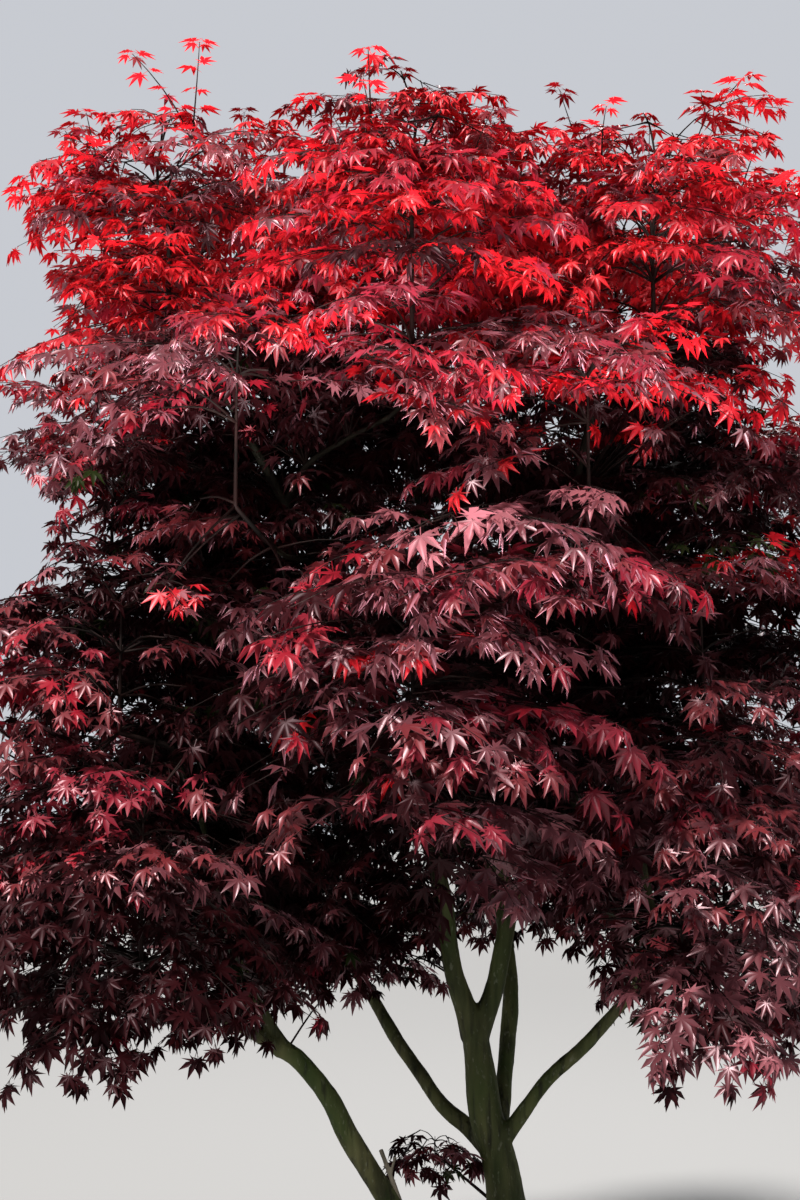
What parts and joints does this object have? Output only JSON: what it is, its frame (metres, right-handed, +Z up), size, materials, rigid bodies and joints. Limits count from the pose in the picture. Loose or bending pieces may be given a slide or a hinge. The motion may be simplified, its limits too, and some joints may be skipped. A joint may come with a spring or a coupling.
{
  "type": "potted japanese maple",
  "caption": "Broad layered small tree with deeply cut scarlet to dark red leaves on a forked low trunk and a leaning second stem, standing in a plain round clay pot.",
  "frame": {"origin": "centre of the pot's flat underside, on the ground", "axes": "+Z up along the pot's centre line, +X to the right of the picture, +Y away from its camera"},
  "size_m": [2.2935, 2.2476, 3.4255],
  "materials": {
    "clay": "matte unglazed clay",
    "soil": "rough loose potting soil",
    "bark": "smooth olive grey bark",
    "dead_wood": "dry broken wood",
    "leaves_top": "satin scarlet leaves",
    "leaves_upper": "satin crimson leaves",
    "leaves_middle": "satin dark red leaves",
    "leaves_lower": "satin burgundy leaves",
    "leaves_shoot": "satin dark shoot leaves"
  },
  "bodies": {
    "root": {"bough_lower_back_left": "bark", "bough_lower_back_right": "bark", "bough_lower_left_front": "bark", "bough_lower_right": "bark", "bough_lower_right_front": "bark", "bough_middle_back": "bark", "bough_middle_front": "bark", "bough_middle_right_back": "bark", "bough_top_front": "bark", "bough_top_left_back": "bark", "bough_top_right_back": "bark", "bough_upper_back_left": "bark", "bough_upper_back_right": "bark", "bough_upper_front_left": "bark", "bough_upper_front_right": "bark", "bough_upper_left": "bark", "bough_upper_right": "bark", "dead_stub": "dead_wood", "foliage_low_shoot": "leaves_shoot", "foliage_lower_back_left": "leaves_lower", "foliage_lower_back_right": "leaves_lower", "foliage_lower_left": "leaves_lower", "foliage_lower_left_front": "leaves_lower", "foliage_lower_right": "leaves_lower", "foliage_lower_right_front": "leaves_lower", "foliage_middle_back": "leaves_middle", "foliage_middle_front": "leaves_middle", "foliage_middle_left_back": "leaves_middle", "foliage_middle_left_front": "leaves_middle", "foliage_middle_right_back": "leaves_middle", "foliage_middle_right_front": "leaves_middle", "foliage_top_back": "leaves_top", "foliage_top_centre": "leaves_top", "foliage_top_front": "leaves_top", "foliage_top_left_back": "leaves_top", "foliage_top_left_front": "leaves_top", "foliage_top_right_back": "leaves_top", "foliage_top_right_front": "leaves_top", "foliage_upper_back_left": "leaves_upper", "foliage_upper_back_right": "leaves_upper", "foliage_upper_front_left": "leaves_upper", "foliage_upper_front_right": "leaves_upper", "foliage_upper_left": "leaves_upper", "foliage_upper_right": "leaves_upper", "leader_back": "bark", "leader_left": "bark", "leader_right": "bark", "leader_right_inner": "bark", "leader_right_outer": "bark", "left_bough": "bark", "left_stem": "bark", "left_stem_inner": "bark", "left_stem_outer": "bark", "pot": "clay", "right_bough": "bark", "soil": "soil", "trunk": "bark"}
  },
  "joints": []
}
